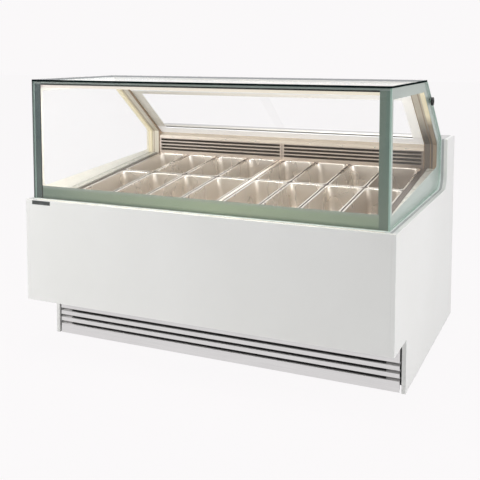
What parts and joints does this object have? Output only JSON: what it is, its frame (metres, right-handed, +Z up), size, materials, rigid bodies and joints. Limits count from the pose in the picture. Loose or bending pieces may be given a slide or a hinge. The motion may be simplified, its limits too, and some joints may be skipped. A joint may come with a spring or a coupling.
{
  "type": "chest freezer",
  "caption": "Scooping display freezer: white insulated cabinet with a steel kick plate, two rows of lift-out pans on a sloping deck and a square glass canopy.",
  "frame": {"origin": "middle of the footprint, on the floor", "axes": "+Z up, customer's side faces -Y, +X to the customer's right along the length"},
  "size_m": [1.6, 1.2, 1.166],
  "materials": {
    "white_paint": "smooth powder coat",
    "black_steel": "black paint",
    "black_plastic": "moulded",
    "white_plastic": "foamed shell",
    "cream_plastic": "smooth",
    "grey_trim": "smooth",
    "pale_seal": "silicone",
    "dark_plate": "smooth, bare",
    "steel": "brushed",
    "pan_steel": "satin",
    "galvanised": "light grey",
    "filter": "fine mesh",
    "glass": "tempered, clear",
    "door_glass": "clear",
    "aluminium": "anodised",
    "light_diffuser": "opal",
    "red_plastic": "smooth",
    "pipework": "copper tube",
    "bright_screws": "polished"
  },
  "bodies": {
    "cabinet": {"base_frame": "black_steel", "levelling_feet": "black_plastic", "side_panel_left": "white_paint", "side_panel_right": "white_paint", "side_lips": "grey_trim", "glazing_strip": "pale_seal", "front_panel": "white_paint", "name_plate": "dark_plate", "kick_plate": "steel", "air_filter": "filter", "insulated_tub": "white_plastic", "tub_liner": "steel", "front_deck": "steel", "side_ledges": "cream_plastic", "pan_frame": "steel", "front_glass": "glass", "side_glass_left": "glass", "side_glass_right": "glass", "top_glass": "glass", "light_channel": "aluminium", "light_strips": "light_diffuser", "rear_posts": "aluminium", "rear_frame": "cream_plastic", "door_tracks": "aluminium", "door_sill": "steel", "glass_fixings": "black_plastic", "rear_grilles": "steel", "evaporator": "aluminium", "worktop": "steel", "service_panel": "galvanised", "control_panel": "dark_plate", "compressor": "black_steel", "condenser": "aluminium", "service_lines": "pipework", "fasteners": "bright_screws"},
    "rear_door_left": {"door_left": "door_glass", "door_pull_left": "aluminium"},
    "rear_door_right": {"door_right": "door_glass", "door_pull_right": "aluminium"},
    "evaporator_fan_left": {"evaporator_fan_left": "black_plastic"},
    "evaporator_fan_right": {"evaporator_fan_right": "black_plastic"},
    "power_switch": {"power_switch": "red_plastic"},
    "light_switch": {"light_switch": "black_plastic"},
    "condenser_fan": {"condenser_fan": "black_plastic"},
    "pan_front_1": {"pan_front_1": "pan_steel"},
    "pan_front_2": {"pan_front_2": "pan_steel"},
    "pan_front_3": {"pan_front_3": "pan_steel"},
    "pan_front_4": {"pan_front_4": "pan_steel"},
    "pan_front_5": {"pan_front_5": "pan_steel"},
    "pan_front_6": {"pan_front_6": "pan_steel"},
    "pan_front_7": {"pan_front_7": "pan_steel"},
    "pan_front_8": {"pan_front_8": "pan_steel"},
    "pan_rear_1": {"pan_rear_1": "pan_steel"},
    "pan_rear_2": {"pan_rear_2": "pan_steel"},
    "pan_rear_3": {"pan_rear_3": "pan_steel"},
    "pan_rear_4": {"pan_rear_4": "pan_steel"},
    "pan_rear_5": {"pan_rear_5": "pan_steel"},
    "pan_rear_6": {"pan_rear_6": "pan_steel"},
    "pan_rear_7": {"pan_rear_7": "pan_steel"},
    "pan_rear_8": {"pan_rear_8": "pan_steel"}
  },
  "joints": [
    {"name": "lift_pan_front_1", "type": "slide", "parent": "cabinet", "child": "pan_front_1", "axis": [0, -0.1149, 0.9934], "range_m": [0, 0.122]},
    {"name": "lift_pan_front_2", "type": "slide", "parent": "cabinet", "child": "pan_front_2", "axis": [0, -0.1149, 0.9934], "range_m": [0, 0.122]},
    {"name": "lift_pan_front_3", "type": "slide", "parent": "cabinet", "child": "pan_front_3", "axis": [0, -0.1149, 0.9934], "range_m": [0, 0.122]},
    {"name": "lift_pan_front_4", "type": "slide", "parent": "cabinet", "child": "pan_front_4", "axis": [0, -0.1149, 0.9934], "range_m": [0, 0.122]},
    {"name": "lift_pan_front_5", "type": "slide", "parent": "cabinet", "child": "pan_front_5", "axis": [0, -0.1149, 0.9934], "range_m": [0, 0.122]},
    {"name": "lift_pan_front_6", "type": "slide", "parent": "cabinet", "child": "pan_front_6", "axis": [0, -0.1149, 0.9934], "range_m": [0, 0.122]},
    {"name": "lift_pan_front_7", "type": "slide", "parent": "cabinet", "child": "pan_front_7", "axis": [0, -0.1149, 0.9934], "range_m": [0, 0.122]},
    {"name": "lift_pan_front_8", "type": "slide", "parent": "cabinet", "child": "pan_front_8", "axis": [0, -0.1149, 0.9934], "range_m": [0, 0.122]},
    {"name": "lift_pan_rear_1", "type": "slide", "parent": "cabinet", "child": "pan_rear_1", "axis": [0, -0.1149, 0.9934], "range_m": [0, 0.122]},
    {"name": "lift_pan_rear_2", "type": "slide", "parent": "cabinet", "child": "pan_rear_2", "axis": [0, -0.1149, 0.9934], "range_m": [0, 0.122]},
    {"name": "lift_pan_rear_3", "type": "slide", "parent": "cabinet", "child": "pan_rear_3", "axis": [0, -0.1149, 0.9934], "range_m": [0, 0.122]},
    {"name": "lift_pan_rear_4", "type": "slide", "parent": "cabinet", "child": "pan_rear_4", "axis": [0, -0.1149, 0.9934], "range_m": [0, 0.122]},
    {"name": "lift_pan_rear_5", "type": "slide", "parent": "cabinet", "child": "pan_rear_5", "axis": [0, -0.1149, 0.9934], "range_m": [0, 0.122]},
    {"name": "lift_pan_rear_6", "type": "slide", "parent": "cabinet", "child": "pan_rear_6", "axis": [0, -0.1149, 0.9934], "range_m": [0, 0.122]},
    {"name": "lift_pan_rear_7", "type": "slide", "parent": "cabinet", "child": "pan_rear_7", "axis": [0, -0.1149, 0.9934], "range_m": [0, 0.122]},
    {"name": "lift_pan_rear_8", "type": "slide", "parent": "cabinet", "child": "pan_rear_8", "axis": [0, -0.1149, 0.9934], "range_m": [0, 0.122]},
    {"name": "slide_door_left", "type": "slide", "parent": "cabinet", "child": "rear_door_left", "axis": [1, 0, 0], "range_m": [0, 0.655]},
    {"name": "slide_door_right", "type": "slide", "parent": "cabinet", "child": "rear_door_right", "axis": [-1, 0, 0], "range_m": [0, 0.655]},
    {"name": "spin_evaporator_fan_left", "type": "hinge", "parent": "cabinet", "child": "evaporator_fan_left", "pos_m": [-0.24, 0.238, 0.4241], "axis": [0, 1, 0], "continuous": true},
    {"name": "spin_evaporator_fan_right", "type": "hinge", "parent": "cabinet", "child": "evaporator_fan_right", "pos_m": [0.24, 0.238, 0.4241], "axis": [0, 1, 0], "continuous": true},
    {"name": "spin_condenser_fan", "type": "hinge", "parent": "cabinet", "child": "condenser_fan", "pos_m": [0.32928, -0.244, 0.178], "axis": [0, 1, 0], "continuous": true},
    {"name": "rock_power_switch", "type": "hinge", "parent": "cabinet", "child": "power_switch", "pos_m": [0.594, 0.584, 0.785], "axis": [1, 0, 0], "range_deg": [0, 12]},
    {"name": "rock_light_switch", "type": "hinge", "parent": "cabinet", "child": "light_switch", "pos_m": [0.638, 0.584, 0.785], "axis": [1, 0, 0], "range_deg": [0, 12]}
  ]
}
